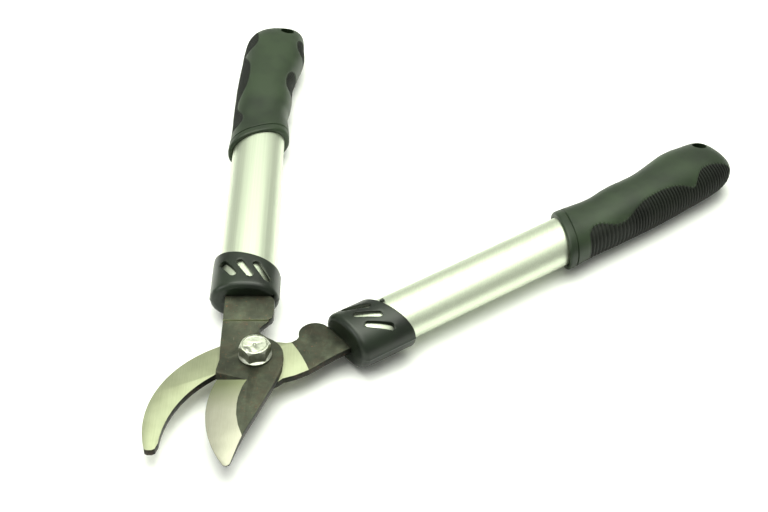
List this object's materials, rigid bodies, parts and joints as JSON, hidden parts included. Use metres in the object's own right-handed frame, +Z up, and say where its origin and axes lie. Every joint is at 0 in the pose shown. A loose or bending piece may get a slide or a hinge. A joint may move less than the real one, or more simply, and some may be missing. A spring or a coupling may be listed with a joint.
{
  "type": "bypass loppers",
  "caption": "Compact two-handed bypass loppers with oval tube handles, slotted collars, ribbed grips with hanging holes, and a curved blade closing past a hook.",
  "frame": {"origin": "on the pivot bolt's axis, level with the upper face of the hook plate, where the blade slides over it", "axes": "+Z up along the pivot axis through the bolt head, +Y along the handle tube of the blade half, +X towards the other handle"},
  "size_m": [0.3401, 0.4098, 0.0284],
  "materials": {
    "blade_steel": "black-oxide finish, ground bevel",
    "hook_steel": "ground jaw, black-oxide tang",
    "bolt_zinc": "bright zinc plate",
    "nut_zinc": "bright zinc plate",
    "washer_zinc": "bright zinc plate",
    "nylon_ring": "nylon locking ring",
    "tube_aluminium": "satin anodised, oval tube",
    "packing_plastic": "moulded filler",
    "pin_steel": "plain steel",
    "collar_plastic": "moulded, fine sheen",
    "plug_plastic": "moulded plug",
    "grip_rubber": "soft moulded grip with ribbed sides"
  },
  "bodies": {
    "hook_half": {"hook_blade": "hook_steel", "pivot_bolt": "bolt_zinc", "pivot_washer": "washer_zinc", "pivot_nut": "nut_zinc", "pivot_nut_ring": "nylon_ring", "hook_tube": "tube_aluminium", "hook_packing_upper": "packing_plastic", "hook_packing_lower": "packing_plastic", "hook_tang_pins": "pin_steel", "hook_collar": "collar_plastic", "hook_tube_plug": "plug_plastic", "hook_grip": "grip_rubber"},
    "blade_half": {"cutting_blade": "blade_steel", "blade_tube": "tube_aluminium", "blade_packing_upper": "packing_plastic", "blade_packing_lower": "packing_plastic", "blade_tang_pins": "pin_steel", "blade_collar": "collar_plastic", "blade_tube_plug": "plug_plastic", "blade_grip": "grip_rubber"}
  },
  "joints": [
    {"name": "pivot", "type": "hinge", "parent": "hook_half", "child": "blade_half", "pos_m": [0, 0, 0], "axis": [0, 0, 1], "range_deg": [-36, 20]}
  ]
}
